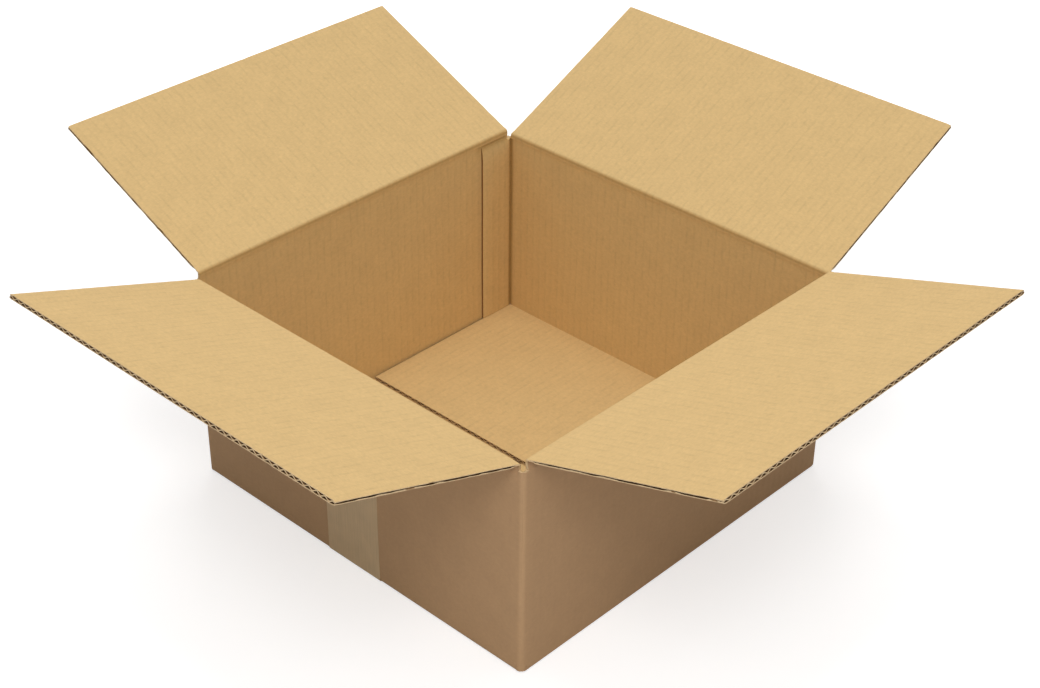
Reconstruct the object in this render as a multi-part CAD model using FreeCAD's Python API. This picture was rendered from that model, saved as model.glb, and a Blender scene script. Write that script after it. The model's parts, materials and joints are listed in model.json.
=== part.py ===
import FreeCAD, Part
import os
from math import cos, floor, radians, sin

# An open single-wall corrugated shipping carton, made from one folded blank. All sizes in millimetres.
# Origin: centre of the base, on the surface that the carton rests on. +Z is up.
# The bottom seam and its tape run along Y, so the outer (major) flaps hang on the left and right walls
# and the inner (minor) flaps hang on the front and back walls.

# Inside sizes of the carton
inside_x = 300.0
inside_y = 300.0
inside_z = 150.0

# Corrugated board, B flute
board = 3.0
liner = 0.4
flute_pitch = 6.5
flute_crest_flat = 0.8
medium_at_crest = 0.25
side_groove_depth = 2.0
side_groove_height = 1.6

# Flaps: length from crease to free edge, clearance beside a closed flap, play between stacked flaps
flap_length = 148.0
flap_side_clearance = 0.8
stack_play = 0.3

# Crushed score between a wall and a top flap
score_reach = 3.0
score_tip = 0.1
score_play = 0.3

# How far each top flap stands open, from straight up, in degrees
open_left = 66.0
open_right = 72.0
open_front = 70.5
open_back = 65.0

# Glue tab at the back left corner, folded off the back wall and glued inside the left wall
tab_width = 30.0
tab_board = 2.4
tab_end_play = 0.5
joint_slit = 0.5

# Packing tape over the bottom seam and up the front and back walls
tape_width = 50.0
tape_film = 0.1
tape_climb = 75.0
tape_sink = 0.15

# Worked out from the sizes above
half_x = inside_x / 2 + board
half_y = inside_y / 2 + board
floor_low = board + stack_play
floor_top = floor_low + board
minor_crease = floor_top + inside_z + board / 2
major_crease = minor_crease + board + stack_play
slot_floor = minor_crease - score_reach
minor_crease_out = inside_y / 2 + board / 2
major_crease_out = inside_x / 2 + board / 2
tab_low = floor_top + tab_end_play
tab_high = slot_floor - tab_end_play
half_pitch = flute_pitch / 2
minor_width = inside_x - 2 * flap_side_clearance
major_width = inside_y - 2 * flap_side_clearance

# Two coordinates nearer than this are the same
same = 0.001

UP = FreeCAD.Vector(0, 0, 1)


def solid_prism(points, along):
    """Straight prism from a closed run of points, extruded by a vector."""
    wire = Part.makePolygon(points + points[:1])
    return Part.Face(wire).extrude(along)


def box_between(low, high):
    """Plain block from its lowest to its highest corner."""
    size = [high[i] - low[i] for i in range(3)]
    return Part.makeBox(*size, FreeCAD.Vector(*low))


def channel(middle, at_top, near, far):
    """One open flute: a three-sided tunnel between the medium and one liner.

    The board lies flat: x is across the flutes, z is through the board, y is along the flutes.
    """
    half_base = half_pitch - flute_crest_flat / 2
    base_z = board / 2 - liner
    tip_z = medium_at_crest - base_z
    sign = 1 if at_top else -1
    corners = [
        FreeCAD.Vector(middle - half_base, near, sign * base_z),
        FreeCAD.Vector(middle + half_base, near, sign * base_z),
        FreeCAD.Vector(middle, near, sign * tip_z),
    ]
    return Part.makePolygon(corners + corners[:1])


def fluted_panel(width, near, far):
    """Flat piece of board whose flutes run along y and stay open at both ends."""
    edge = width / 2
    outline = [
        FreeCAD.Vector(-edge, near, -board / 2),
        FreeCAD.Vector(edge, near, -board / 2),
        FreeCAD.Vector(edge, near, -side_groove_height / 2),
        FreeCAD.Vector(edge - side_groove_depth, near, 0),
        FreeCAD.Vector(edge, near, side_groove_height / 2),
        FreeCAD.Vector(edge, near, board / 2),
        FreeCAD.Vector(-edge, near, board / 2),
        FreeCAD.Vector(-edge, near, side_groove_height / 2),
        FreeCAD.Vector(-edge + side_groove_depth, near, 0),
        FreeCAD.Vector(-edge, near, -side_groove_height / 2),
    ]
    room = edge - side_groove_depth - liner - half_pitch
    each_side = floor(room / half_pitch)
    wires = [Part.makePolygon(outline + outline[:1])]
    for number in range(-each_side, each_side + 1):
        wires.append(channel(number * half_pitch, number % 2 == 0, near, far))
    section = Part.Face(wires, "Part::FaceMakerBullseye")
    return section.extrude(FreeCAD.Vector(0, far - near, 0))


def score_wedge(width, start):
    """Crushed board between full thickness at start and a thin tip at the crease, at y = 0."""
    side = 1 if start > 0 else -1
    tip = side * score_play / 2
    points = [
        FreeCAD.Vector(-width / 2, start, -board / 2),
        FreeCAD.Vector(-width / 2, start, board / 2),
        FreeCAD.Vector(-width / 2, tip, score_tip / 2),
        FreeCAD.Vector(-width / 2, tip, -score_tip / 2),
    ]
    return solid_prism(points, FreeCAD.Vector(width, 0, 0))


def flat_flap(width):
    """Top flap lying flat, crease at y = 0 and free edge at y = flap_length."""
    root = score_wedge(width, score_reach)
    panel = fluted_panel(width, score_reach, flap_length)
    return root.fuse(panel).removeSplitter()


def top_flap(width, crease_height, crease_out, compass, opened):
    """Top flap at its wall, compass degrees round from the front wall, opened from straight up."""
    shape = flat_flap(width)
    shape.rotate(FreeCAD.Vector(), FreeCAD.Vector(1, 0, 0), 90.0 + opened)
    shape.translate(FreeCAD.Vector(0, -crease_out, crease_height))
    shape.rotate(FreeCAD.Vector(), UP, compass)
    return shape


def wall_head(width, crease_height, crease_out, compass):
    """Top of one wall: full board up from the slot floor, then the crushed score under the crease."""
    wedge = score_wedge(width, -score_reach)
    wedge.rotate(FreeCAD.Vector(), FreeCAD.Vector(1, 0, 0), 90.0)
    wedge.translate(FreeCAD.Vector(0, -crease_out, crease_height))
    head = wedge
    neck_top = crease_height - score_reach
    if neck_top - slot_floor > same:
        neck = box_between(
            (-width / 2, -crease_out - board / 2, slot_floor),
            (width / 2, -crease_out + board / 2, neck_top),
        )
        head = wedge.fuse(neck)
    head.rotate(FreeCAD.Vector(), UP, compass)
    return head


def quarter_bend(width, out, height, compass):
    """Rounded fold between a wall and a bottom flap: a quarter round of one board thickness."""
    corner = FreeCAD.Vector(-width / 2, -out, height)
    bend = Part.makeCylinder(board, width, corner, FreeCAD.Vector(1, 0, 0))
    keep = box_between(
        (-width / 2, -out - board, height - board),
        (width / 2, -out, height),
    )
    bend = bend.common(keep)
    bend.rotate(FreeCAD.Vector(), UP, compass)
    return bend


def wall_foot(width, out, low, compass):
    """Bottom strip of one wall, between the two bottom slots, down to its fold."""
    foot = box_between((-width / 2, -out - board, low), (width / 2, -out, floor_top))
    foot.rotate(FreeCAD.Vector(), UP, compass)
    return foot


def major_bottom_flap(compass):
    """Outer bottom flap: plain board on the resting surface, with a shallow dip under the tape."""
    free_edge = major_crease_out - flap_length
    flap = box_between(
        (-major_width / 2, -inside_x / 2, 0),
        (major_width / 2, -free_edge, board),
    )
    dip = box_between(
        (-major_width / 2, -tape_width / 2 - stack_play, 0),
        (major_width / 2, -free_edge, tape_sink),
    )
    flap = flap.cut(dip)
    flap.rotate(FreeCAD.Vector(), UP, compass)
    return flap


def minor_bottom_flap(compass):
    """Inner bottom flap: true fluted board whose open flutes show along the middle of the floor."""
    free_edge = minor_crease_out - flap_length
    crushed_to = inside_y / 2 - score_reach
    root = box_between(
        (-minor_width / 2, -inside_y / 2, floor_low),
        (minor_width / 2, -crushed_to, floor_top),
    )
    panel = fluted_panel(minor_width, -crushed_to, -free_edge)
    panel.translate(FreeCAD.Vector(0, 0, floor_low + board / 2))
    flap = root.fuse(panel)
    flap.rotate(FreeCAD.Vector(), UP, compass)
    return flap


def is_upright(edge):
    """True for a straight edge along z."""
    first, last = edge.Vertexes[0].Point, edge.Vertexes[1].Point
    return abs(first.x - last.x) < same and abs(first.y - last.y) < same


def rounded_trough(half_width, half_run, low, high, radius):
    """Block whose two lower edges along x are rounded, as a strip bent up at both ends."""
    block = box_between((-half_width, -half_run, low), (half_width, half_run, high))
    lower = [
        edge for edge in block.Edges
        if abs(edge.Vertexes[0].Z - low) < same
        and abs(edge.Vertexes[1].Z - low) < same
        and abs(edge.Vertexes[0].X - edge.Vertexes[1].X) > same
    ]
    return block.makeFillet(radius, lower)


def wall_ring():
    """The four walls between the bottom and top slots, with rounded folds at three corners.

    At the fourth corner, back left, the back wall turns inwards into the glue tab and the left wall
    ends in a cut edge.
    """
    ring = box_between((-half_x, -half_y, floor_top), (half_x, half_y, slot_floor))
    folded = [
        edge for edge in ring.Edges
        if is_upright(edge) and not (edge.Vertexes[0].X < 0 < edge.Vertexes[0].Y)
    ]
    ring = ring.makeFillet(board, folded)
    hollow = box_between(
        (-inside_x / 2, -inside_y / 2, floor_top),
        (inside_x / 2, inside_y / 2, slot_floor),
    )
    ring = ring.cut(hollow)
    open_corner = box_between(
        (-half_x, inside_y / 2, floor_top),
        (-inside_x / 2 + board, half_y, slot_floor),
    )
    fold_axis = FreeCAD.Vector(-inside_x / 2 + board, inside_y / 2, tab_low)
    fold = Part.makeCylinder(board, tab_high - tab_low, fold_axis).common(open_corner)
    cut_end = box_between(
        (-half_x, inside_y / 2, floor_top),
        (-inside_x / 2, half_y - joint_slit, slot_floor),
    )
    return ring.cut(open_corner).fuse([fold, cut_end])


def glue_tab():
    """Crushed tab along the inside of the left wall, from the back corner fold."""
    return box_between(
        (-inside_x / 2, inside_y / 2 - tab_width, tab_low),
        (-inside_x / 2 + tab_board, inside_y / 2, tab_high),
    )


def carton_body():
    """The folded blank without its top flaps: walls, glue tab, four bottom flaps and their folds."""
    pieces = [glue_tab()]
    for compass in (0.0, 180.0):
        pieces.append(minor_bottom_flap(compass))
        pieces.append(quarter_bend(minor_width, inside_y / 2, floor_top, compass))
        pieces.append(wall_head(minor_width, minor_crease, minor_crease_out, compass))
    for compass in (90.0, 270.0):
        pieces.append(major_bottom_flap(compass))
        pieces.append(quarter_bend(major_width, inside_x / 2, board, compass))
        pieces.append(wall_foot(major_width, inside_x / 2, board, compass))
        pieces.append(wall_head(major_width, major_crease, major_crease_out, compass))
    return wall_ring().fuse(pieces).removeSplitter()


def bottom_tape():
    """Tape strip: flat along the seam, round both bottom edges, and up the front and back walls."""
    low = tape_sink - tape_film
    outer = rounded_trough(
        tape_width / 2, half_y + tape_film, low, tape_climb, board + tape_film
    )
    inner = rounded_trough(tape_width, half_y, tape_sink, tape_climb + board, board)
    return outer.cut(inner)


nodes = {
    "carton_body": carton_body(),
    "bottom_tape": bottom_tape(),
    "front_flap": top_flap(minor_width, minor_crease, minor_crease_out, 0.0, open_front),
    "right_flap": top_flap(major_width, major_crease, major_crease_out, 90.0, open_right),
    "back_flap": top_flap(minor_width, minor_crease, minor_crease_out, 180.0, open_back),
    "left_flap": top_flap(major_width, major_crease, major_crease_out, 270.0, open_left),
}

os.makedirs("parts", exist_ok=True)
for name, shape in nodes.items():
    print(name, len(shape.Solids), "solid", "valid", shape.isValid(), round(shape.Volume), "mm3")
    shape.exportStep("parts/" + name + ".step")
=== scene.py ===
import json
from math import cos, exp, pi, radians, sin

import bmesh
import bpy
from mathutils import Matrix, Vector, noise


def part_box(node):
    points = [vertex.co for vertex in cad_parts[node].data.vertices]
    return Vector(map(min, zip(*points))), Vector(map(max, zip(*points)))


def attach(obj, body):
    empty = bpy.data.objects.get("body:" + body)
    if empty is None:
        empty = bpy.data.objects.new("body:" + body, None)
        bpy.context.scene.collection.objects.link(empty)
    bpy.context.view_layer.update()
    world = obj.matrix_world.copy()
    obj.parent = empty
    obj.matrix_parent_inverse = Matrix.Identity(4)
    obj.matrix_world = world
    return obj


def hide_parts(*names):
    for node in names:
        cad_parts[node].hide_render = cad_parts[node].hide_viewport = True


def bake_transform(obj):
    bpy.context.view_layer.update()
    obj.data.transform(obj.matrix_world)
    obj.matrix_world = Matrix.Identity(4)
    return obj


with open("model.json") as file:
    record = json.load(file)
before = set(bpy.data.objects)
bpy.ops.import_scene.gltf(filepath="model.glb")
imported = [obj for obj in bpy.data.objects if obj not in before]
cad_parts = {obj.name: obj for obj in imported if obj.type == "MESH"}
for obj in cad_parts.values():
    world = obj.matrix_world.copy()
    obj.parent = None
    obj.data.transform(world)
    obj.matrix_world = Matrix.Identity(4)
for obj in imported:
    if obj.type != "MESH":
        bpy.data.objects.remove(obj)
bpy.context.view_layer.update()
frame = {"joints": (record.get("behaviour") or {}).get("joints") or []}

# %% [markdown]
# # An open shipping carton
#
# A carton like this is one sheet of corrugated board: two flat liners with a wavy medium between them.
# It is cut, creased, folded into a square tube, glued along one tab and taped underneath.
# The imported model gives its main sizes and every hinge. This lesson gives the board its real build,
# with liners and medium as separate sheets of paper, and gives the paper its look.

MM = 0.001

# %% [markdown]
# ## Sizes from the frame
#
# The width of the carton, the heights of its creases and the angles of its open flaps could be typed
# in again. They are read from the frame instead, so that they can't drift away from it. The dressed
# slots are a little wider than the solid ones, as in the photo.

# %% Width and floor
BOARD = 3.0 * MM
SLOT_TRIM = 1.2 * MM
STACK_PLAY = 0.3 * MM

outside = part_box("carton_body")[1].x
inside = outside - BOARD
slot_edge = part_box("front_flap")[1].x
flap_half = slot_edge - SLOT_TRIM
floor_low = BOARD + STACK_PLAY
floor_top = floor_low + BOARD
print("carton", round(outside * 2 / MM), "mm wide, floor at", round(floor_top / MM, 1), "mm")

# %% Creases
WALL_REACH = 3.0 * MM
COMPASS = {"front_flap": 0.0, "right_flap": 90.0, "back_flap": 180.0, "left_flap": 270.0}

sides = {}
for joint in frame["joints"]:
    flap = joint["child"]
    spot = joint["pos_m"]
    sides[flap] = {
        "crease": spot[2],
        "out": max(abs(spot[0]), abs(spot[1])),
        "opened": -joint["range_deg"][0] - 90.0,
        "compass": COMPASS[flap],
    }
minor_crease = sides["front_flap"]["crease"]
major_crease = sides["right_flap"]["crease"]
slot_floor = minor_crease - WALL_REACH
print("creases at", round(minor_crease / MM, 1), "and", round(major_crease / MM, 1), "mm")

# %% [markdown]
# ## Colours as they look on a screen
#
# Kraft paper is a yellow brown inside and a duller brown outside. Shaders want linear light, but a
# colour is easier to judge as screen values between 0 and 255, so a small function turns those into it.

# %% Screen colours
def screen_colour(red, green, blue):
    """Linear colour with alpha from screen values between 0 and 255."""
    linear = []
    for value in (red, green, blue):
        part = value / 255
        linear.append(part / 12.92 if part <= 0.04045 else ((part + 0.055) / 1.055) ** 2.4)
    return (*linear, 1.0)


BARK = screen_colour(84, 58, 34)
print("bark in linear light", [round(value, 3) for value in BARK])

# %% [markdown]
# ## Helpers for node trees
#
# Real paper carries its pattern with it round every fold, so every pattern here reads the piece's own
# UV map, called board. It holds the place on the flat sheet in metres: first across the flutes, then
# along them. A picture of paper could be wrapped on, but node patterns never repeat and need no file.

# %% Node helpers
def add_node(tree, kind, values=(), **settings):
    """Add a node, set its properties, and set input sockets from (name or number, value) pairs."""
    node = tree.nodes.new(kind)
    for name, value in settings.items():
        setattr(node, name, value)
    for socket, value in values:
        node.inputs[socket].default_value = value
    return node


def new_group(name, inputs, outputs):
    """Empty shader node group with its sockets, and its input and output nodes."""
    tree = bpy.data.node_groups.new(name, "ShaderNodeTree")
    for label, kind, value in inputs:
        socket = tree.interface.new_socket(label, in_out="INPUT", socket_type=kind)
        if value is not None:
            socket.default_value = value
    for label, kind in outputs:
        tree.interface.new_socket(label, in_out="OUTPUT", socket_type=kind)
    return tree, tree.nodes.new("NodeGroupInput"), tree.nodes.new("NodeGroupOutput")


print("node helpers: add_node, new_group")

# %% Pattern helpers
def noise_node(tree, vector, scale, detail, roughness=0.5):
    """Noise texture read at a vector."""
    node = add_node(
        tree, "ShaderNodeTexNoise",
        (("Scale", scale), ("Detail", detail), ("Roughness", roughness)),
    )
    tree.links.new(vector, node.inputs["Vector"])
    return node.outputs["Fac"]


def stretch(tree, vector, across, along):
    """Board coordinates stretched across and along the flutes."""
    node = add_node(tree, "ShaderNodeMapping", (("Scale", (across, along, 1.0)),))
    tree.links.new(vector, node.inputs["Vector"])
    return node.outputs["Vector"]


def remap(tree, value, low, high, new_low, new_high):
    """Map Range node from one span of values to another; its sockets 1 to 4 hold the spans."""
    node = add_node(
        tree, "ShaderNodeMapRange",
        ((1, low), (2, high), (3, new_low), (4, new_high)),
    )
    tree.links.new(value, node.inputs[0])
    return node.outputs[0]


def maths(tree, operation, first, second):
    """Math node on two sockets or numbers."""
    node = tree.nodes.new("ShaderNodeMath")
    node.operation = operation
    for number, value in enumerate((first, second)):
        if isinstance(value, (int, float)):
            node.inputs[number].default_value = value
        else:
            tree.links.new(value, node.inputs[number])
    return node.outputs[0]


print("pattern helpers: noise_node, stretch, remap, maths")

# %% Material helpers
BUMP_DEPTH = 0.05 * MM


def new_material(name):
    """Material with its node tree and its shader."""
    material = bpy.data.materials.new(name)
    material.use_nodes = True
    tree = material.node_tree
    return material, tree, tree.nodes["Principled BSDF"]


def toned_colour(tree, colour, tone):
    """Colour multiplied by a tone around 1."""
    toned = add_node(tree, "ShaderNodeVectorMath", ((0, colour[:3]),), operation="SCALE")
    tree.links.new(tone, toned.inputs["Scale"])
    return toned.outputs["Vector"]


def add_bump(tree, shader, height, strength):
    """Bump of a shader from a height pattern."""
    node = add_node(tree, "ShaderNodeBump", (("Strength", strength), ("Distance", BUMP_DEPTH)))
    tree.links.new(height, node.inputs["Height"])
    tree.links.new(node.outputs["Normal"], shader.inputs["Normal"])


print("bumps", BUMP_DEPTH / MM, "mm deep")

# %% [markdown]
# ## Kraft paper as a node group
#
# Kraft liner is made of long brown fibres that settle in soft clouds, with short fibres lying mostly
# across the flutes and a few dark bark specks. Each paper could have its own nodes for that, but one
# group is shared by all, and only its strengths change. It gives a tone around 1 to multiply the colour
# with, a mask of specks, and a height for the bump.

# %% Kraft paper group
CLOUD_SCALE = 55.0
MOTTLE_SCALE = 340.0
FIBRE_SCALE = (320.0, 1300.0)
SPECK_SCALE = 130.0
SPECK_SHARE = 0.03


def kraft_group():
    """Shader group: clouds, fibres and bark specks of kraft paper."""
    tree, source, sink = new_group(
        "kraft_paper",
        (("Board", "NodeSocketVector", None), ("Clouds", "NodeSocketFloat", 0.06),
         ("Fibres", "NodeSocketFloat", 0.08), ("Speck Size", "NodeSocketFloat", 0.07)),
        (("Tone", "NodeSocketFloat"), ("Specks", "NodeSocketFloat"), ("Height", "NodeSocketFloat")),
    )
    board = source.outputs["Board"]
    clouds = noise_node(tree, board, CLOUD_SCALE, detail=4.0, roughness=0.55)
    mottle = noise_node(tree, board, MOTTLE_SCALE, detail=3.0, roughness=0.6)
    fibres = noise_node(tree, stretch(tree, board, *FIBRE_SCALE), 1.0, detail=3.0, roughness=0.6)
    cloud_tone = remap(tree, clouds, 0.3, 0.7, -1.0, 1.0)
    fibre_tone = remap(tree, maths(tree, "ADD", fibres, mottle), 0.7, 1.3, -1.0, 1.0)
    tone = maths(
        tree, "ADD",
        maths(tree, "MULTIPLY", cloud_tone, source.outputs["Clouds"]),
        maths(tree, "MULTIPLY", fibre_tone, source.outputs["Fibres"]),
    )
    tree.links.new(maths(tree, "ADD", tone, 1.0), sink.inputs["Tone"])
    cells = add_node(tree, "ShaderNodeTexVoronoi", (("Scale", SPECK_SCALE), ("Randomness", 1.0)))
    tree.links.new(board, cells.inputs["Vector"])
    rare = maths(tree, "LESS_THAN", cells.outputs["Color"], SPECK_SHARE)
    near = maths(tree, "LESS_THAN", cells.outputs["Distance"], source.outputs["Speck Size"])
    tree.links.new(maths(tree, "MULTIPLY", rare, near), sink.inputs["Specks"])
    tree.links.new(fibre_tone, sink.inputs["Height"])
    return tree


kraft_tree = kraft_group()
print(kraft_tree.name, "group with", len(kraft_tree.nodes), "nodes")

# %% [markdown]
# ## Washboard lines as a node group
#
# The liners are glued to the crests of the medium and sink a little between them, which shows as faint
# parallel lines. They could be bent into the mesh, but are only hundredths of a millimetre deep, so
# they stay in the shader: a cosine of the distance across the flutes. A slow noise makes them wander,
# and a patchy one lets some fade, because the glue never takes evenly.

# %% Washboard group
PITCH = 6.5 * MM
WANDER_SCALE = (30.0, 9.0)
WANDER = 0.55
PATCH_SCALE = (110.0, 90.0)


def washboard_group():
    """Shader group: faint lines of the flutes under a liner."""
    tree, source, sink = new_group(
        "washboard",
        (("Board", "NodeSocketVector", None), ("Pitch", "NodeSocketFloat", PITCH)),
        (("Lines", "NodeSocketFloat"), ("Height", "NodeSocketFloat")),
    )
    board = source.outputs["Board"]
    parts = tree.nodes.new("ShaderNodeSeparateXYZ")
    tree.links.new(board, parts.inputs[0])
    drift = noise_node(tree, stretch(tree, board, *WANDER_SCALE), 1.0, detail=2.0)
    wander = maths(tree, "MULTIPLY", maths(tree, "SUBTRACT", drift, 0.5), WANDER)
    flutes = maths(tree, "DIVIDE", parts.outputs["X"], source.outputs["Pitch"])
    turns = maths(tree, "ADD", flutes, wander)
    wave = maths(tree, "COSINE", maths(tree, "MULTIPLY", turns, 2 * pi), 0.0)
    patchy = noise_node(tree, stretch(tree, board, *PATCH_SCALE), 1.0, detail=3.0, roughness=0.65)
    strength = remap(tree, patchy, 0.42, 0.62, 0.1, 1.1)
    crest = maths(tree, "POWER", maths(tree, "MAXIMUM", wave, 0.0), 3.0)
    tree.links.new(maths(tree, "MULTIPLY", crest, strength), sink.inputs["Lines"])
    tree.links.new(wave, sink.inputs["Height"])
    return tree


washboard_tree = washboard_group()
print(washboard_tree.name, "group with", len(washboard_tree.nodes), "nodes")

# %% [markdown]
# ## Pressed, shaded and speckled paper
#
# Where a crease or fold has pressed the paper, the colour is made darker and warmer: partly the burnish
# of pressed kraft, and partly painted shade in the hollow of the crease or fold. That could be painted
# on. Here a vertex attribute called pressed says how much, because the mesh knows where its folds are.
# The bark specks lie over it.

# %% Paper effects
# Share of each colour channel kept where the paper is pressed: burnish and painted shade together.
BURNISH_AND_SHADE = (0.60, 0.53, 0.38)
SPECK_DEPTH = 0.75


def burnished_and_shaded(tree, plain):
    """Colour that turns darker and warmer where the paper was pressed: burnish and painted shade."""
    darkened = add_node(tree, "ShaderNodeVectorMath", ((1, BURNISH_AND_SHADE),), operation="MULTIPLY")
    tree.links.new(plain, darkened.inputs[0])
    pressed = add_node(tree, "ShaderNodeAttribute", attribute_name="pressed")
    folded = add_node(tree, "ShaderNodeMix", data_type="RGBA")
    tree.links.new(pressed.outputs["Fac"], folded.inputs["Factor"])
    tree.links.new(plain, folded.inputs["A"])
    tree.links.new(darkened.outputs["Vector"], folded.inputs["B"])
    return folded.outputs["Result"]


def speckled(tree, plain, specks):
    """Colour with bark specks over it."""
    mixed = add_node(tree, "ShaderNodeMix", data_type="RGBA")
    mixed.inputs["B"].default_value = BARK
    tree.links.new(maths(tree, "MULTIPLY", specks, SPECK_DEPTH), mixed.inputs["Factor"])
    tree.links.new(plain, mixed.inputs["A"])
    return mixed.outputs["Result"]


print("burnished kraft keeps", BURNISH_AND_SHADE, "of its light, bark covers", SPECK_DEPTH)

# %% [markdown]
# ## Four papers
#
# The carton shows four papers: the pale inside liner, the smoother and browner outside liner, the fuzzy
# cut edge, and the dark medium, its colour partly its own and partly painted shade for hidden flutes.
# Four separate node trees would drift apart, so one function makes a paper from its colour and the
# strength of each effect. Paper is rough and shines little.

# %% Paper materials
FIBRE_HEIGHT = 0.12
PAPER_SHINE = 0.25


def paper(name, colour, clouds, fibres, lines, bump, roughness):
    """Kraft paper material with washboard lines."""
    material, tree, shader = new_material(name)
    board = add_node(tree, "ShaderNodeUVMap", uv_map="board").outputs["UV"]
    strengths = (("Clouds", clouds), ("Fibres", fibres))
    kraft = add_node(tree, "ShaderNodeGroup", strengths, node_tree=kraft_tree)
    tree.links.new(board, kraft.inputs["Board"])
    washboard = add_node(tree, "ShaderNodeGroup", node_tree=washboard_tree)
    tree.links.new(board, washboard.inputs["Board"])
    line_tone = maths(tree, "MULTIPLY", washboard.outputs["Lines"], lines)
    tone = maths(tree, "SUBTRACT", kraft.outputs["Tone"], line_tone)
    folded = burnished_and_shaded(tree, toned_colour(tree, colour, tone))
    tree.links.new(speckled(tree, folded, kraft.outputs["Specks"]), shader.inputs["Base Color"])
    fibre_height = maths(tree, "MULTIPLY", kraft.outputs["Height"], FIBRE_HEIGHT)
    add_bump(tree, shader, maths(tree, "ADD", fibre_height, washboard.outputs["Height"]), bump)
    shader.inputs["Roughness"].default_value = roughness
    shader.inputs["Specular IOR Level"].default_value = PAPER_SHINE
    return material


inside_paper = paper(
    "inside_liner", screen_colour(217, 184, 128),
    clouds=0.03, fibres=0.07, lines=0.07, bump=0.9, roughness=0.85,
)
outside_paper = paper(
    "outside_liner", screen_colour(181, 145, 107),
    clouds=0.03, fibres=0.045, lines=0.015, bump=0.4, roughness=0.7,
)
edge_paper = paper(
    "cut_edge", screen_colour(212, 184, 144),
    clouds=0.08, fibres=0.12, lines=0.0, bump=0.8, roughness=0.95,
)
# Medium colour: partly the darker brown of the medium paper, partly painted shade for the hidden flutes.
shaded_flute_paper = paper(
    "flute_medium_shaded", screen_colour(136, 100, 62),
    clouds=0.08, fibres=0.16, lines=0.0, bump=0.8, roughness=0.95,
)
PAPERS = (inside_paper, outside_paper, edge_paper, shaded_flute_paper)
INSIDE, OUTSIDE, EDGE, SHADED_FLUTE = range(4)
print("papers", [material.name for material in PAPERS])

# %% [markdown]
# ## Sheets of paper
#
# Each paper starts as a flat grid: x across the flutes, y along them from the crease to the free edge,
# z through the board with the outside up. A block could be cut into shape, but even faces bend better.
# Slices add rows where the sheet will bend, solidify gives it the thickness of paper, and the place on
# the flat sheet goes into the UV map before anything bends.

# %% Grids and slices
def smooth(value):
    """Smooth step between 0 and 1."""
    value = min(max(value, 0.0), 1.0)
    return value * value * (3 - 2 * value)


def side_of(value):
    """1 on the positive side of a middle plane, -1 on the other."""
    return 1 if value > 0 else -1


def turned(degrees, axis):
    """Rotation matrix in four dimensions."""
    return Matrix.Rotation(radians(degrees), 4, axis)


def slice_at(mesh, axis, places):
    """Cut the mesh by planes across one axis, adding rows of vertices."""
    normal = Vector((0, 0, 0))
    normal[axis] = 1.0
    for place in places:
        bmesh.ops.bisect_plane(
            mesh, geom=mesh.verts[:] + mesh.edges[:] + mesh.faces[:],
            plane_co=normal * place, plane_no=normal, dist=1e-6,
        )


def spread(low, high, step):
    """Evenly spaced places inside a span, about one step apart."""
    count = max(1, round((high - low) / step))
    return [low + (high - low) * number / count for number in range(1, count)]


print("places inside 0 to 10, 3 apart:", [round(place, 1) for place in spread(0, 10, 3)])

# %% Closed sheets
def closed_sheet(width, near, far, thickness, counts, rows=(), columns=()):
    """Flat closed sheet of paper standing on z = 0: an even grid with extra rows and columns."""
    sheet = bmesh.new()
    bmesh.ops.create_grid(sheet, x_segments=counts[0], y_segments=counts[1], size=0.5)
    bmesh.ops.scale(sheet, vec=(width, far - near, 1), verts=sheet.verts)
    bmesh.ops.translate(sheet, vec=(0, (near + far) / 2, 0), verts=sheet.verts)
    slice_at(sheet, 1, rows)
    slice_at(sheet, 0, columns)
    bmesh.ops.solidify(sheet, geom=sheet.faces[:], thickness=thickness)
    low = min(vert.co.z for vert in sheet.verts)
    bmesh.ops.translate(sheet, vec=(0, 0, -low), verts=sheet.verts)
    bmesh.ops.recalc_face_normals(sheet, faces=sheet.faces)
    return sheet


def mark_sheet(sheet, paper_up, paper_down):
    """Papers by the way a face looks, edge paper on the cut rim, and the flat place as UV."""
    uv = sheet.loops.layers.uv.new("board")
    for face in sheet.faces:
        face.smooth = True
        if abs(face.normal.z) < 0.3:
            face.material_index = EDGE
        else:
            face.material_index = paper_up if face.normal.z > 0 else paper_down
        for loop in face.loops:
            loop[uv].uv = (loop.vert.co.x, loop.vert.co.y)


print("sheet helpers: closed_sheet, mark_sheet")

# %% Pieces
def join(target, part):
    """Add one bmesh to another through a passing mesh."""
    passing = bpy.data.meshes.new("passing")
    part.to_mesh(passing)
    part.free()
    target.from_mesh(passing)
    bpy.data.meshes.remove(passing)


def add_object(name, data):
    """Object in the scene for a mesh, lamp or camera."""
    thing = bpy.data.objects.new(name, data)
    bpy.context.scene.collection.objects.link(thing)
    return thing


def mesh_object(name, mesh, materials):
    """Object of a finished bmesh, with its materials."""
    data = bpy.data.meshes.new(name)
    mesh.to_mesh(data)
    mesh.free()
    for material in materials:
        data.materials.append(material)
    return add_object(name, data)


def finish_piece(name, mesh, materials, crisp=35.0):
    """Piece of the carton, with crisp edges where its faces turn by more than an angle."""
    piece = mesh_object(name, mesh, materials)
    piece.data.set_sharp_from_angle(angle=radians(crisp))
    print(name, len(piece.data.polygons), "faces")
    return piece


print("piece helpers: join, add_object, mesh_object, finish_piece")

# %% [markdown]
# ## The thickness of a flap
#
# Towards the crease the creasing rule has pressed the outside of the board in, and the slotting knife
# has pinched its long edges. Both could be sculpted by hand, but as heights over the flat sheet they
# are two short formulas that every sheet of the board follows.

# %% Faces of the board
FLAP_REACH = 2.2 * MM
SQUEEZE_END = 7.0 * MM
SIDE_BAND = 2.5 * MM
SIDE_CRUSH = 0.3


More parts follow.
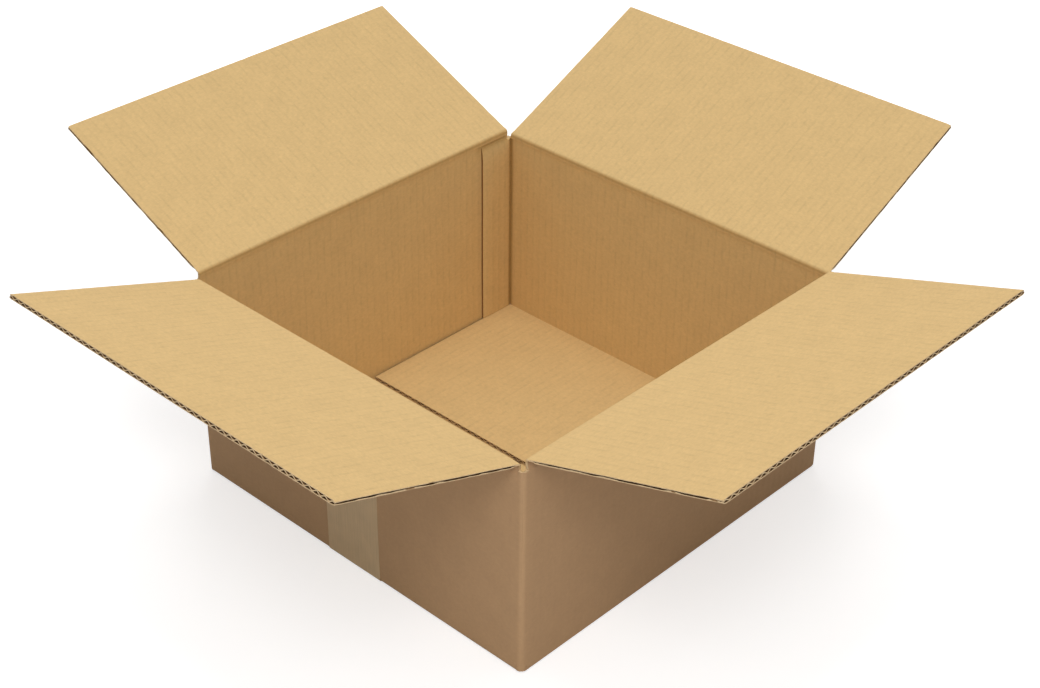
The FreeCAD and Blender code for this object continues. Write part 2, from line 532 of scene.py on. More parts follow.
def outside_face(along):
    """Height of the outside face over the middle of the board, pressed in towards the crease."""
    return BOARD / 2 * smooth((along - FLAP_REACH) / (SQUEEZE_END - FLAP_REACH))


def pinch(x):
    """Share of the thickness that the slotting knife has left, towards a long edge."""
    return 1.0 - SIDE_CRUSH * smooth((abs(x) - flap_half) / SIDE_BAND + 1.0)


print("outside face 5 mm from the crease", round(outside_face(5 * MM) / MM, 2), "mm")
print("thickness left at a long edge", round(pinch(flap_half) * BOARD / MM, 2), "mm")

# %% [markdown]
# ## Torn fibres
#
# A knife never cuts paper clean: its rim wavers by tenths of a millimetre, and torn fibres stand up
# along it. Hair would be far too heavy for that, so the rim is moved by a fine and a coarse noise.

# %% Ragged edges
FINE_TEAR = 2.5 * MM
COARSE_TEAR = 9.0 * MM


def fray(sheet, far, seed):
    """Draw the cut edges of a flat sheet in, and tell how far torn fibres stand up there."""
    torn = {}
    for vert in sheet.verts:
        fine = noise.noise(Vector((vert.co.x / FINE_TEAR, vert.co.y / FINE_TEAR, seed)))
        rough = noise.noise(Vector((vert.co.x / COARSE_TEAR, vert.co.y / COARSE_TEAR, seed)))
        bite = 0.2 * MM * (1.0 + fine) + 0.9 * MM * max(rough - 0.3, 0.0)
        if abs(vert.co.y - far) < 1e-6:
            vert.co.y -= 0.7 * bite
            torn[vert] = 0.15 * MM
        if abs(abs(vert.co.x) - flap_half) < 1e-6:
            vert.co.x -= bite * side_of(vert.co.x)
            torn[vert] = 0.3 * MM + 0.7 * MM * max(fine + rough, -0.3)
    return torn


print("tears", FINE_TEAR / MM, "and", COARSE_TEAR / MM, "mm long")

# %% [markdown]
# ## Corrugated board
#
# A piece of board is three sheets: the outside liner, the medium in its wave, and the inside liner.
# The flutes could be a pattern on the edge, but their open ends are seen first on a carton, so all
# three are real sheets. The medium stops short of the long edges, which leaves a dark groove there,
# and its cut end is thicker, because it frays.

# %% Liners
LINER = 0.4 * MM
SHEET_COLUMNS = 150
RIM_COLUMNS = (0.4 * MM, 1.2 * MM, 2.5 * MM)


def raise_liner(liner, side, torn, top_face, dip):
    """Lift a flat liner to its height: the outside one for side 1, the inside one for side -1."""
    for vert in liner.verts:
        fibres = torn.get(vert, 0.0)
        if side > 0:
            fibres *= 1.0 if vert.co.z < LINER / 2 else 0.0
            vert.co.z += top_face(vert.co.y) * pinch(vert.co.x) - LINER - fibres
            vert.co.z -= dip(vert.co.y) if dip else 0.0
        else:
            fibres *= 0.4 if vert.co.z > LINER / 2 else 0.0
            vert.co.z += fibres - BOARD / 2 * pinch(vert.co.x)


print("liners", LINER / MM, "mm thick")

# %% Medium
MEDIUM = 0.4 * MM
FRAYED = 1.9
SIDE_GROOVE = 1.1 * MM


def wave_medium(medium, half, far, top_face):
    """Bend the flat medium into its wave between the liners, thicker at its cut end."""
    for vert in medium.verts:
        x, along = vert.co.x, vert.co.y
        top = top_face(along) * pinch(x) - LINER
        low = LINER - BOARD / 2 * pinch(x)
        at_cut = along > far - MM
        fuzz = MEDIUM * (FRAYED if at_cut else 1.0)
        swing = (top - low - fuzz) / 2
        vert.co.z *= fuzz / MEDIUM
        vert.co.z += (top + low - fuzz) / 2 + swing * cos(2 * pi * x / PITCH)
        if at_cut and abs(x) > half - 0.1 * MM:
            vert.co.x += (SIDE_GROOVE - 0.4 * MM) * side_of(x)


print("medium", MEDIUM / MM, "mm thick, a wave every", PITCH / MM, "mm")

# %% Board
CREASED_ROW = 2.5 * MM
PLAIN_ROW = 12.0 * MM
BEND_ROW = 0.9 * MM
CUT_ROW = 0.5 * MM
WAVE_COLUMNS = 8


def corrugated(near, far, crushed, seed, dip=None):
    """Fluted board from three sheets of paper, lying flat with its outside up."""
    board = bmesh.new()
    bent = spread(near, SQUEEZE_END, BEND_ROW) if crushed else []
    top_face = outside_face if crushed else lambda along: BOARD / 2
    liner_rows = round((far - near) / (CREASED_ROW if crushed else PLAIN_ROW))
    rims = [side * (flap_half - inset) for side in (-1, 1) for inset in RIM_COLUMNS]
    for side, up, down in ((1, OUTSIDE, SHADED_FLUTE), (-1, SHADED_FLUTE, INSIDE)):
        liner = closed_sheet(
            2 * flap_half, near, far, LINER, (SHEET_COLUMNS, liner_rows), bent + [far - CUT_ROW], rims,
        )
        raise_liner(liner, side, fray(liner, far, seed + side), top_face, dip)
        mark_sheet(liner, up, down)
        join(board, liner)
    half = flap_half - SIDE_GROOVE
    waves = round(2 * half / PITCH * WAVE_COLUMNS)
    medium = closed_sheet(2 * half, near, far - 0.3 * MM, MEDIUM, (waves, 9), bent)
    wave_medium(medium, half, far, top_face)
    mark_sheet(medium, SHADED_FLUTE, SHADED_FLUTE)
    join(board, medium)
    return board


print("flutes in the width", round(2 * flap_half / PITCH))

# %% [markdown]
# ## The four top flaps
#
# Each top flap is a piece of this board, hanging from its crease. It could be modelled in place, but
# it is easier to make it flat and turn it to its wall and its angle with one matrix. A flat flap looks
# like sheet metal, so each is bowed by less than a millimetre.

# %% Top flaps
FLAP_LENGTH = 148.0 * MM
DROOP = {"front_flap": -0.3 * MM, "right_flap": 0.4 * MM, "back_flap": -0.3 * MM, "left_flap": 0.4 * MM}


def crease_place(flap, bend):
    """Matrix from a flat piece, crease along x, to its wall, bent outwards at the crease."""
    side = sides[flap]
    hinge = Matrix.Translation((0, -side["out"], side["crease"]))
    return turned(side["compass"], "Z") @ hinge @ turned(90.0 + bend, "X")


def droop(mesh, amount):
    """Bow the board a little, most in its middle and not at the crease or free edge."""
    for vert in mesh.verts:
        along = vert.co.y / FLAP_LENGTH
        vert.co.z += amount * sin(pi * min(max(along, 0.0), 1.0)) * cos(vert.co.x / flap_half * pi / 2)


for number, flap in enumerate(sides):
    mesh = corrugated(FLAP_REACH, FLAP_LENGTH - 0.3 * MM, True, 10.0 * number)
    droop(mesh, DROOP[flap])
    bmesh.ops.transform(mesh, matrix=crease_place(flap, sides[flap]["opened"]), verts=mesh.verts)
    piece = finish_piece(flap + "_board", mesh, PAPERS)
    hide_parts(flap)
    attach(piece, flap)

# %% [markdown]
# ## Creases that bend
#
# Between a wall and its flap the board is pressed thin and bends round the hinge line. Rigid pieces
# would leave a gap there. So a strip of pressed board is made straight and turned a little more with
# every row, from the wall's direction to the flap's, as the flap stands open. Below the line the inside
# liner swells into a low bead, and the colour is painted darker: partly the burnish of pressed paper,
# partly painted shade in the crease.

# %% Crease shape
BEND_HALF = 1.3 * MM


def crease_shade(along):
    """How much darker the paper is painted at a distance from the crease, the wall's side being
    negative: burnish and painted shade.
    """
    return 0.5 * exp(-(((along + 1.0 * MM) / (1.1 * MM)) ** 2))


def bead(along):
    """Height of the low bead of the inside liner on the wall's side of the crease."""
    return 0.25 * MM * exp(-(((along + 2.2 * MM) / (1.6 * MM)) ** 2))


print("bead", round(bead(-2.2 * MM) / MM, 2), "mm high")

# %% Crease strips
CREASE_ROW = 0.3 * MM
END_COLUMN = 1.2 * MM


def crease_strip(flap, seed):
    """Pressed board between one wall and its flap, bent as the flap stands open."""
    rows = round((WALL_REACH + FLAP_REACH) / CREASE_ROW)
    ends = (END_COLUMN - flap_half, flap_half - END_COLUMN)
    strip = closed_sheet(
        2 * flap_half, -WALL_REACH, FLAP_REACH, BOARD / 2, (SHEET_COLUMNS, rows), (), ends,
    )
    mark_sheet(strip, OUTSIDE, INSIDE)
    pressed = strip.verts.layers.float.new("pressed")
    for vert in strip.verts:
        x, along = vert.co.x, vert.co.y
        # Painted shade: the crease is darkened through the pressed attribute, partly as burnish.
        vert[pressed] = crease_shade(along)
        lies_inside = vert.co.z < BOARD / 4
        vert.co.z -= BOARD / 2
        if lies_inside:
            wobble = 1.0 + 0.5 * noise.noise(Vector((x / (7.0 * MM), seed, 0)))
            vert.co.z -= bead(along) * wobble
        part = smooth((along + BEND_HALF) / (2 * BEND_HALF))
        vert.co.z *= 1.0 + (pinch(x) - 1.0) * part
        vert.co.yz = (turned(part * sides[flap]["opened"], "X") @ vert.co).yz
    return strip


for number, flap in enumerate(sides):
    mesh = crease_strip(flap, 3.7 * number)
    place = crease_place(flap, 0.0)
    bmesh.ops.transform(mesh, matrix=place, verts=mesh.verts)
    piece = finish_piece(flap.replace("flap", "crease"), mesh, PAPERS, 60.0)
    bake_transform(piece)

# %% [markdown]
# ## A folded ribbon
#
# The walls are one strip of board folded at three corners and again at the tab, and the tape is a strip
# folded at two edges. Four boxes would never join so neatly. Seen from its side such a strip is a line
# of points, so it is drawn from that line, rounded at its folds, and given its thickness inwards.

# %% Ribbon helpers
def folded_ribbon(points, lift, rounding, segments, profile):
    """Open skin: a line of points drawn out by a vector, with its folds rounded."""
    ribbon = bmesh.new()
    line = [ribbon.verts.new(point) for point in points]
    for first, second in zip(line, line[1:]):
        ribbon.edges.new((first, second))
    drawn = bmesh.ops.extrude_edge_only(ribbon, edges=ribbon.edges[:])["geom"]
    far = [item for item in drawn if isinstance(item, bmesh.types.BMVert)]
    bmesh.ops.translate(ribbon, vec=lift, verts=far)
    folds = [edge for edge in ribbon.edges if len(edge.link_faces) == 2]
    bmesh.ops.bevel(
        ribbon, geom=folds, offset=rounding, offset_type="OFFSET", segments=segments,
        profile=profile, affect="EDGES", material=-1, clamp_overlap=True,
    )
    return ribbon


def thicken(skin, thickness, centre=(0, 0, 0)):
    """Turn an open skin's faces away from a centre, and give it its thickness inwards."""
    bmesh.ops.recalc_face_normals(skin, faces=skin.faces)
    middle = Vector(centre)
    outward = sum(face.normal.dot(face.calc_center_median() - middle) for face in skin.faces)
    if outward < 0:
        bmesh.ops.reverse_faces(skin, faces=skin.faces)
    bmesh.ops.solidify(skin, geom=skin.faces[:], thickness=thickness)
    bmesh.ops.recalc_face_normals(skin, faces=skin.faces)


def mark_ribbon(ribbon, paper_index):
    """One paper, and the place along a ribbon that runs across y and z as UV."""
    uv = ribbon.loops.layers.uv.new("board")
    for face in ribbon.faces:
        face.smooth = True
        face.material_index = paper_index
        for loop in face.loops:
            loop[uv].uv = (loop.vert.co.x, loop.vert.co.y + loop.vert.co.z)


print("ribbon helpers: folded_ribbon, thicken, mark_ribbon")

# %% [markdown]
# ## The four walls and the glue tab
#
# The blank is folded into a tube, and its tab is glued inside the left wall, at the back corner. Walls
# could be four boards, but the strip here follows the blank: left, front, right and back wall, then the
# tab. It stands between the bottom and top slots. Heads and feet are drawn out of its rims, up to the
# creases and down to the bottom folds, and its corners come down beside the outer bottom flaps.

# %% Places on the walls
TAB_WIDTH = 30.0 * MM
tab_edge = inside - TAB_WIDTH


def on_tab(co):
    """True on the glue tab and its fold."""
    return -inside < co.x < 1.4 * BOARD - inside and -MM < inside - co.y < TAB_WIDTH + MM


def is_major(co, margin):
    """True beside the left and right walls, between their slots."""
    return abs(co.x) > inside - margin and abs(co.y) < flap_half + margin


def is_minor(co, margin):
    """True beside the front and back walls, between their slots."""
    return abs(co.y) > inside - margin and abs(co.x) < flap_half + margin


def in_corner(co):
    """True on the lower rim of a corner, where no bottom flap hangs."""
    return min(abs(co.x), abs(co.y)) > flap_half + 0.1 * MM and abs(co.z - floor_top) < 0.1 * MM


print("tab from", round(tab_edge / MM), "to", round(inside / MM), "mm")

# %% Strip of walls
SLIT = 0.5 * MM
VALLEY_HALF = 2.8 * MM
TAB_BOARD = 2.4 * MM
WALL_GRID = 9.0 * MM
DRAWN_COLUMNS = (8.0 * MM, 11.0 * MM, 15.0 * MM)
ROUND_PROFILE = 0.5


def folded_strip():
    """Outside skin of the walls and the tab, standing between the bottom and top slots."""
    tab_x = -inside + 0.05 * MM
    plan = (
        (-outside, outside - SLIT), (-outside, -outside), (outside, -outside),
        (outside, outside), (tab_x, outside), (tab_x, tab_edge),
    )
    points = [(x, y, floor_top) for x, y in plan]
    return folded_ribbon(points, (0, 0, slot_floor - floor_top), 1.2 * BOARD, 6, ROUND_PROFILE)


def add_rows(walls):
    """Cut rows and columns where the walls will be bowed or pressed."""
    heights = spread(floor_top, slot_floor, WALL_GRID)
    slice_at(walls, 2, heights + spread(minor_crease - SQUEEZE_END, slot_floor, MM))
    valleys = [inside - VALLEY_HALF, inside - VALLEY_HALF / 2]
    across = [flap_half, -flap_half] + spread(-flap_half, flap_half, WALL_GRID)
    across += valleys + [-row for row in valleys]
    across += [side * (outside - inset) for side in (-1, 1) for inset in DRAWN_COLUMNS]
    slice_at(walls, 0, across + [TAB_BOARD - row for row in valleys])
    slice_at(walls, 1, across + [tab_edge + 2 * MM, tab_edge + 4 * MM])


print("walls between", round(floor_top / MM, 1), "and", round(slot_floor / MM, 1), "mm")

# %% Heads, feet and corners
CORNER_LOW = 1.3 * MM


def rim_between_slots(walls, way, height):
    """Rim faces of the left and right walls that look up (1) or down (-1) at a height."""
    return [
        face for face in walls.faces
        if way * face.normal.z > 0.9 and is_major(face.calc_center_median(), 0.0)
        and abs(face.calc_center_median().z - height) < MM
    ]


def draw_out(walls, rim, lift):
    """Extrude rim faces straight up or down, and give the new ones."""
    drawn = bmesh.ops.extrude_face_region(walls, geom=rim)["geom"]
    bmesh.ops.delete(walls, geom=rim, context="FACES_ONLY")
    moved = [item for item in drawn if isinstance(item, bmesh.types.BMVert)]
    bmesh.ops.translate(walls, vec=(0, 0, lift), verts=moved)
    return [item for item in drawn if isinstance(item, bmesh.types.BMFace)]


def lower_corners(walls):
    """Bring the corners down beside the outer bottom flaps, but not the fold of the tab."""
    for vert in walls.verts:
        beside_tab = vert.co.x < 0 < vert.co.y
        if in_corner(vert.co) and not (beside_tab and vert.co.x > 0.01 * MM - inside):
            vert.co.z = CORNER_LOW


def carton_walls():
    """Walls, heads, feet and tab as one closed piece of board."""
    walls = folded_strip()
    add_rows(walls)
    thicken(walls, BOARD)
    heads = rim_between_slots(walls, 1, slot_floor)
    for lift in (MM, MM, major_crease - minor_crease - 2 * MM):
        heads = draw_out(walls, heads, lift)
    draw_out(walls, rim_between_slots(walls, -1, floor_top), BOARD - floor_top)
    lower_corners(walls)
    return walls


walls = carton_walls()
print("plain walls", len(walls.faces), "faces")

# %% [markdown]
# ## Pressing the walls
#
# Creasing and folding leave their marks in the board: the outside is pressed in below each crease, a
# valley runs down the inside of each upright fold, the outside is drawn in beside it, and the tab is
# crushed thin. They could be cut as grooves, but moving the vertices keeps the slopes as soft as in
# paper. Last, each wall is bowed by less than a millimetre.

# %% Marks of a crease
def press_heads(vert, pressed):
    """Press the outside in below each crease, and swell the inside liner to its bead."""
    co = vert.co
    middle = outside - BOARD / 2
    for axis, crease, beside in ((0, major_crease, is_major), (1, minor_crease, is_minor)):
        if beside(co, 0.01 * MM):
            along = crease - co.z
            face = middle + outside_face(along) if abs(co[axis]) > middle else inside - bead(-along)
            co[axis] = face if co[axis] > 0 else -face
            # Painted shade: below the crease the pressed attribute darkens the colour, partly as
            # burnish.
            vert[pressed] = crease_shade(-along)


print("outside pressed in from", SQUEEZE_END / MM, "mm below a crease")

# %% Marks of an upright fold
VALLEY = 0.9 * MM
TAB_EDGE_CRUSH = 0.35
TAB_END_CRUSH = 0.8


def valley(distance):
    """Share of the valley's depth at a distance from a fold, 1 at the fold."""
    return 1.0 - smooth(abs(distance) / VALLEY_HALF)


def press_tab(vert, pressed):
    """Thin the tab towards its edge, and crush its upper end at the back corner."""
    co = vert.co
    edge = 1.0 - smooth((co.y - tab_edge) / (4.0 * MM))
    end = smooth((co.z - slot_floor) / (5.0 * MM) + 1.0) * smooth((inside - BOARD - co.y) / BOARD)
    thin = TAB_BOARD / BOARD * (1.0 - TAB_EDGE_CRUSH * edge) * (1.0 - TAB_END_CRUSH * end)
    co.z += 1.5 * MM * end
    co.x = (co.x + inside) * thin - inside
    # Painted shade: the crushed upper end of the tab is darkened through the pressed attribute.
    vert[pressed] = 0.7 * end


def press_folds(vert, pressed):
    """Press a valley into the inside of each upright fold, and darken it through the pressed attribute:
    burnish and painted shade.
    """
    co = vert.co
    beside_tab = co.x < 0 < co.y
    fold_x = inside - TAB_BOARD if beside_tab else inside
    share_x = valley(inside - abs(co.y)) if not beside_tab else 0.0
    share_y = valley(fold_x - abs(co.x))
    if on_tab(co):
        share_x = valley(inside - co.y)
        press_tab(vert, pressed)
        if co.x > MM - inside:
            co.x -= VALLEY * share_x
            vert[pressed] = max(vert[pressed], share_x)
    elif abs(abs(co.x) - inside) < 0.7 * MM and share_x > 0.0:
        co.x += VALLEY * share_x * side_of(co.x)
        vert[pressed] = max(vert[pressed], share_x)
    if abs(abs(co.y) - inside) < 0.7 * MM and share_y > 0.0:
        co.y += VALLEY * share_y * side_of(co.y)
        vert[pressed] = max(vert[pressed], share_y)


print("valley", VALLEY / MM, "mm deep and", 2 * VALLEY_HALF / MM, "mm wide")

# %% Drawn in and bowed
DRAW = 0.45 * MM
DRAW_FADE = 4.5 * MM
BOW = 0.5 * MM
BOW_LENGTH = 90.0 * MM


def fold_draw(distance):
    """How far the outside liner is drawn in beside an upright fold, fading over a centimetre."""
    return DRAW * exp(-max(distance, 0.0) / DRAW_FADE)


def draw_in(co):
    """Draw the outside liner in beside the upright folds."""
    middle = outside - BOARD / 2
    beside_x, beside_y = abs(co.x) > middle, abs(co.y) > middle
    draw_x, draw_y = fold_draw(outside - abs(co.y)), fold_draw(outside - abs(co.x))
    if beside_x:
        co.x -= draw_x * side_of(co.x)
    if beside_y:
        co.y -= draw_y * side_of(co.y)


def wall_bow(place):
    """How far a wall stands out of its plane, in and out by under a millimetre."""
    up = sin(pi * min(max(place.z / slot_floor, 0.0), 1.0))
    return BOW * up * noise.noise(Vector((place.x, place.y, place.z)) / BOW_LENGTH)


def shape_walls(walls):
    """Press the heads and folds, draw the outside in, and bow the walls a little."""
    # The pressed attribute darkens creases, valleys and the tab's end: partly burnish, partly painted
    # shade.
    pressed = walls.verts.layers.float.new("pressed")
    for vert in walls.verts:
        press_heads(vert, pressed)
        press_folds(vert, pressed)
        draw_in(vert.co)
    bowed = [(vert, wall_bow(vert.co)) for vert in walls.verts]
    for vert, bow in bowed:
        if abs(vert.co.x) > abs(vert.co.y):
            vert.co.x += bow
        else:
            vert.co.y += bow


shape_walls(walls)
print("outside drawn in by", round(fold_draw(0.0) / MM, 2), "mm at a fold")

# %% [markdown]
# ## Papers of the walls
#
# One sheet of board has a different paper on each side, and a third where it is cut. The faces could be
# picked by hand, but the way a face looks already tells its paper: away from the middle is outside,
# towards it is inside, up or down is a cut rim.

# %% Papers of the walls
def wall_paper(face):
    """Paper of one face of the walls: cut rims, the tab's cut end in the dark flute paper as painted
    shade, outside or inside.
    """
    centre, normal = face.calc_center_median(), face.normal
    # The tab's cut end takes the dark flute paper: painted shade for the gap beside it.
    if on_tab(centre) and centre.y < tab_edge + MM and normal.y < -0.9:
        return SHADED_FLUTE
    if abs(normal.z) > 0.5 and not on_tab(centre):
        return EDGE
    if abs(normal.y) > 0.9 and is_major(centre, MM) and centre.z > slot_floor:
        return EDGE
    return OUTSIDE if normal.x * centre.x + normal.y * centre.y > 0 else INSIDE


def mark_walls(walls):
    """Papers and UV of the walls, from the way each face looks."""
    uv = walls.loops.layers.uv.new("board")
    for face in walls.faces:
        face.smooth = True
        face.material_index = wall_paper(face)
        beside = abs(face.normal.x) > abs(face.normal.y)
        for loop in face.loops:
            co = loop.vert.co
            loop[uv].uv = (co.y if beside else co.x, co.z)


mark_walls(walls)
walls_piece = finish_piece("carton_walls", walls, PAPERS)
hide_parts("carton_body")
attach(walls_piece, "carton")

# %% [markdown]
# ## Folds along the bottom
#
# Under each wall the board folds in to a bottom flap. A quarter round would be the plain way, but the
# photo shows a nearly square edge, so its points are pushed out towards the corner, most of all halfway
# round. The front and back folds are also drawn down almost to the table, beside the ends of the outer
# flaps, because the bottom edge in the photo is one straight line.

# %% Bottom folds
FOLD_SHARP = 4.0
FOLD_STEPS = 12


def bottom_fold(height, low):
    """Fold of board between a wall's foot and a bottom flap, down to a low place, for the front."""
    fold = bmesh.new()
    ends = [fold.verts.new((side * flap_half, -outside, height)) for side in (-1, 1)]
    edge = fold.edges.new(ends)
    centre = Vector((0, -inside, height))
    bmesh.ops.spin(
        fold, geom=ends + [edge], cent=centre, axis=(1, 0, 0), angle=pi / 2, steps=FOLD_STEPS,
    )
    thicken(fold, 0.97 * BOARD, centre)
    for vert in fold.verts:
        arm = Vector((vert.co.y + inside, vert.co.z - height))
        across, below = abs(arm.normalized().x), abs(arm.normalized().y)
        arm /= (across ** FOLD_SHARP + below ** FOLD_SHARP) ** (1 / FOLD_SHARP)
        vert.co.yz = (arm.x - inside, height + arm.y * (height - low) / BOARD)
    mark_ribbon(fold, OUTSIDE)
    return fold


print("a fold halfway round stands out", round(BOARD / MM * 2 ** (0.5 - 1 / FOLD_SHARP), 2), "mm")

# %% [markdown]
# ## The bottom flaps
#
# Four more flaps close the bottom: the inner pair shows as the floor of the open carton, with its open
# flutes along the middle, and the outer pair lies under it on the table. A slab would hide the flutes,
# so each is a piece of corrugated board with its fold. Under the tape the outer pair is pressed in.

# %% Bottom flaps
FOLD_LOW = 0.3 * MM
TAPE_DIP = 0.16 * MM
tape_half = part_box("bottom_tape")[1].x


def tape_dip(along):
    """How deep the outside liner is pressed in under the tape."""
    edge = outside - BOARD / 2 - tape_half
    return TAPE_DIP * smooth((along - edge + 1.5 * MM) / (1.2 * MM))


def bottom_flap(name, compass, height, seed, dip, shift=0.0):
    """One bottom flap with its fold, at a height, turned to its wall."""
    mesh = corrugated(BOARD / 2, FLAP_LENGTH, False, seed, dip)
    flat = Matrix.Translation((0, -outside + BOARD / 2, height - BOARD / 2)) @ turned(180.0, "Y")
    bmesh.ops.transform(mesh, matrix=flat, verts=mesh.verts)
    join(mesh, bottom_fold(height, FOLD_LOW if height > BOARD else 0.0))
    bmesh.ops.scale(mesh, vec=(slot_edge / flap_half, 1, 1), verts=mesh.verts)
    bmesh.ops.translate(mesh, vec=(shift, 0, 0), verts=mesh.verts)
    bmesh.ops.transform(mesh, matrix=turned(compass, "Z"), verts=mesh.verts)
    piece = finish_piece(name, mesh, PAPERS)
    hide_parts("carton_body")
    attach(piece, "carton")


bottom_flap("front_floor_flap", 0.0, floor_top, 51.0, None)
bottom_flap("back_floor_flap", 180.0, floor_top, 52.0, None, -0.5 * MM)
bottom_flap("right_under_flap", 90.0, BOARD, 53.0, tape_dip)
bottom_flap("left_under_flap", 270.0, BOARD, 54.0, tape_dip)

# %% [markdown]
# ## The film of the tape
#
# Packing tape is a thin brown film: glossier than paper, with fine streaks along its length and softer
# blotches where the glue took well or badly. A clear film could be laid over the paper, but this one is
# as good as opaque, so one toned colour with a patchy gloss does it.

# %% Tape material
STREAK_SCALE = (900.0, 30.0)
BLOTCH_SCALE = 90.0
TAPE_COLOUR = screen_colour(200, 172, 132)


def tape_film():
    """Thin brown packing tape."""
    material, tree, shader = new_material("packing_tape")
    board = add_node(tree, "ShaderNodeUVMap", uv_map="board").outputs["UV"]
    streaks = noise_node(tree, stretch(tree, board, *STREAK_SCALE), 1.0, detail=3.0)
    blotches = noise_node(tree, board, BLOTCH_SCALE, detail=3.0)
    streak_tone = remap(tree, streaks, 0.3, 0.7, 0.94, 1.06)
    tone = maths(tree, "ADD", streak_tone, remap(tree, blotches, 0.3, 0.7, -0.05, 0.05))
    tree.links.new(toned_colour(tree, TAPE_COLOUR, tone), shader.inputs["Base Color"])
    add_bump(tree, shader, blotches, 0.4)
    tree.links.new(remap(tree, blotches, 0.3, 0.7, 0.28, 0.42), shader.inputs["Roughness"])
    return material


tape_material = tape_film()
print("tape material", tape_material.name)

# %% [markdown]
# ## The packing tape
#
# The tape runs along the bottom seam, round both edges and up two walls. It could be laid on with a
# shrinkwrap, but a folded ribbon with corners as square as the folds under it is simpler. Its ends are
# toothed, because it was torn off on a dispenser's blade, and it follows the bow of the walls.

# %% Tape
TOOTH = 1.0 * MM
TOOTH_DEPTH = 0.7 * MM
TAPE_GRID = 6.0 * MM
SQUARED_PROFILE = 0.5 ** (2 / FOLD_SHARP)


def seam_tape():
    """Tape strip with toothed ends, following the bow of the walls."""
    low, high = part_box("bottom_tape")
    film = high.y - outside
    points = (
        (low.x, low.y, high.z), (low.x, low.y, low.z), (low.x, high.y, low.z), (low.x, high.y, high.z),
    )
    strip = folded_ribbon(points, (high.x - low.x, 0, 0), BOARD + film, FOLD_STEPS, SQUARED_PROFILE)
    slice_at(strip, 0, spread(low.x, high.x, TOOTH))
    slice_at(strip, 1, spread(low.y, high.y, TAPE_GRID))
    slice_at(strip, 2, spread(low.z + 2 * BOARD, high.z, TAPE_GRID) + [high.z - MM])
    for vert in strip.verts:
        teeth = round((vert.co.x - low.x) / TOOTH) % 2
        if vert.co.z > high.z - 0.1 * MM:
            vert.co.z -= TOOTH_DEPTH * teeth
    thicken(strip, film)
    for vert in strip.verts:
        if vert.co.z > 2 * BOARD:
            vert.co.y += wall_bow(vert.co) + 0.02 * MM * side_of(vert.co.y)
    mark_ribbon(strip, 0)
    return strip


tape_piece = finish_piece("seam_tape", seam_tape(), (tape_material,))
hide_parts("bottom_tape")
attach(tape_piece, "carton")

# %% [markdown]
# ## Studio floor
#
# The photo has a plain white ground, but on pure white the carton would float, so the floor is a pale
# one that keeps a soft shadow. It glows to the camera only, so that it lights nothing, and glows more
# with the distance from the carton, until it is as white as the world.

# %% Studio floor
FLOOR_TONE = 0.6
FLOOR_GLOW = 0.6
FAR_GLOW = 1.0
GLOW_NEAR = 0.5
GLOW_FAR = 1.6
WHITE = (1.0, 1.0, 1.0, 1.0)


def floor_material():
    """Pale floor that glows to the camera, more with distance."""
    material, tree, shader = new_material("studio_floor")
    shader.inputs["Base Color"].default_value = (FLOOR_TONE, FLOOR_TONE, FLOOR_TONE, 1.0)
    shader.inputs["Roughness"].default_value = 0.9
    shader.inputs["Emission Color"].default_value = WHITE
    path = tree.nodes.new("ShaderNodeLightPath")
    place = tree.nodes.new("ShaderNodeTexCoord")
    away = add_node(tree, "ShaderNodeVectorMath", operation="LENGTH")
    tree.links.new(place.outputs["Object"], away.inputs[0])
    level = remap(tree, away.outputs["Value"], GLOW_NEAR, GLOW_FAR, FLOOR_GLOW, FAR_GLOW)
    glow = maths(tree, "MULTIPLY", path.outputs["Is Camera Ray"], level)
    tree.links.new(glow, shader.inputs["Emission Strength"])
    return material


def studio_floor():
    """Wide floor just under the carton."""
    floor = bmesh.new()
    bmesh.ops.create_grid(floor, x_segments=1, y_segments=1, size=4.0)
    bmesh.ops.translate(floor, vec=(0, 0, -0.05 * MM), verts=floor.verts)
    mesh_object("studio_floor", floor, (floor_material(),))


studio_floor()
print("floor glows from", FLOOR_GLOW, "at", GLOW_NEAR, "m to", FAR_GLOW, "at", GLOW_FAR, "m")

# %% [markdown]
# ## White world
#
# A studio has a white backdrop, but its light comes mostly from above. One world does both: the camera
# and reflections see it white, and all other rays get a light that is dim at the horizon and strong
# overhead.

# %% World
HORIZON_LIGHT = 0.07
ZENITH_LIGHT = 0.8
ZENITH_FROM = 0.9


def studio_world():
    """White world for the camera, and a soft top light for the carton."""
    world = bpy.data.worlds.new("studio")
    bpy.context.scene.world = world
    world.use_nodes = True
    tree = world.node_tree
    sky = tree.nodes["Background"]
    place = tree.nodes.new("ShaderNodeTexCoord")
    parts = tree.nodes.new("ShaderNodeSeparateXYZ")
    tree.links.new(place.outputs["Generated"], parts.inputs[0])
    strength = remap(tree, parts.outputs["Z"], 0.0, ZENITH_FROM, HORIZON_LIGHT, ZENITH_LIGHT)
    path = tree.nodes.new("ShaderNodeLightPath")
    seen = maths(
        tree, "MAXIMUM", path.outputs["Is Camera Ray"],
        maths(tree, "MAXIMUM", path.outputs["Is Glossy Ray"], path.outputs["Is Transmission Ray"]),
    )
    level = add_node(tree, "ShaderNodeMix", data_type="FLOAT")
    level.inputs["B"].default_value = 1.0
    tree.links.new(seen, level.inputs["Factor"])
    tree.links.new(strength, level.inputs["A"])
    tree.links.new(level.outputs["Result"], sky.inputs["Strength"])
    sky.inputs["Color"].default_value = WHITE


studio_world()
print("world light from", HORIZON_LIGHT, "to", ZENITH_LIGHT)

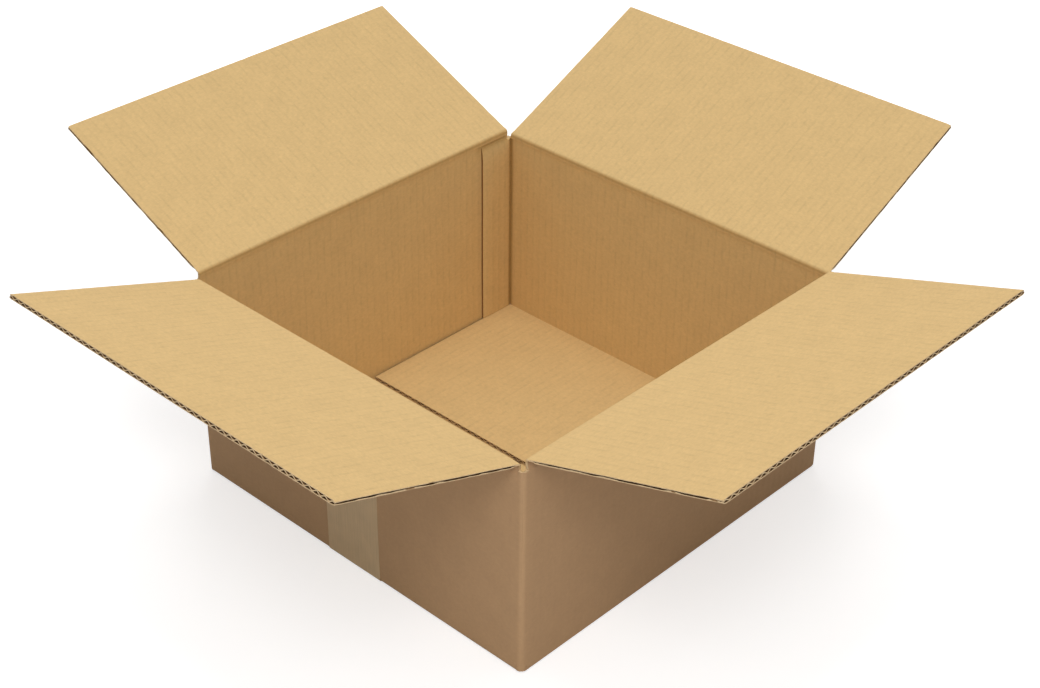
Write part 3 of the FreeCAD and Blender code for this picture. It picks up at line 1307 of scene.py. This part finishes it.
# %% [markdown]
# ## Lamps
#
# The photo's light is even, with a gentle shade between the walls and no hard shadow. A sun lamp would
# draw hard edges, so four area lamps do it: one overhead, a key lamp above and behind the camera, a
# small low one that lifts the near corner, and one at the far side for the insides of the near flaps.

# %% Lamps
def area_lamp(name, place, aim, size, power):
    """Soft square lamp that looks at a point."""
    data = bpy.data.lights.new(name, "AREA")
    data.size = size
    data.energy = power
    lamp = add_object(name, data)
    lamp.location = place
    lamp.rotation_euler = (Vector(aim) - Vector(place)).to_track_quat("-Z", "Y").to_euler()
    lamp.visible_camera = False
    print(name, power, "W")


area_lamp("top_lamp", (0.0, 0.0, 3.2), aim=(0, 0, 0.1), size=0.9, power=16.0)
area_lamp("key_lamp", (0.95, -1.0, 1.75), aim=(0, 0, 0.05), size=0.7, power=11.5)
area_lamp("front_lamp", (0.42, -0.44, 0.08), aim=(0.15, -0.15, 0.03), size=0.25, power=0.4)
area_lamp("rear_lamp", (-1.2, 1.2, 0.8), aim=(0, 0, 0.1), size=0.8, power=6.0)

# %% [markdown]
# ## Camera
#
# The photo looks down on the near corner. The camera could be set by eye, but its place, its three turns
# and its lens were fitted to the carton's corners, so that the render can be laid over the photo. The
# focal length came out in pixels, and is turned into millimetres on a common sensor.

# %% Camera
CAMERA_PLACE = Vector((764.0, -805.1, 823.6)) * MM
CAMERA_TURN = 43.31
CAMERA_DIP = 32.94
CAMERA_ROLL = 0.57
FOCAL_PIXELS = 1932.2
PHOTO_WIDTH = 1040
SENSOR_WIDTH = 36.0

camera_data = bpy.data.cameras.new("camera")
camera_data.sensor_width = SENSOR_WIDTH
camera_data.lens = FOCAL_PIXELS / PHOTO_WIDTH * SENSOR_WIDTH
camera = add_object("camera", camera_data)
camera.matrix_world = (
    Matrix.Translation(CAMERA_PLACE) @ turned(CAMERA_TURN, "Z")
    @ turned(90.0 - CAMERA_DIP, "X") @ turned(CAMERA_ROLL, "Z")
)
bpy.context.scene.camera = camera
bpy.context.scene.view_settings.view_transform = "Standard"
print("lens", round(camera_data.lens, 1), "mm")
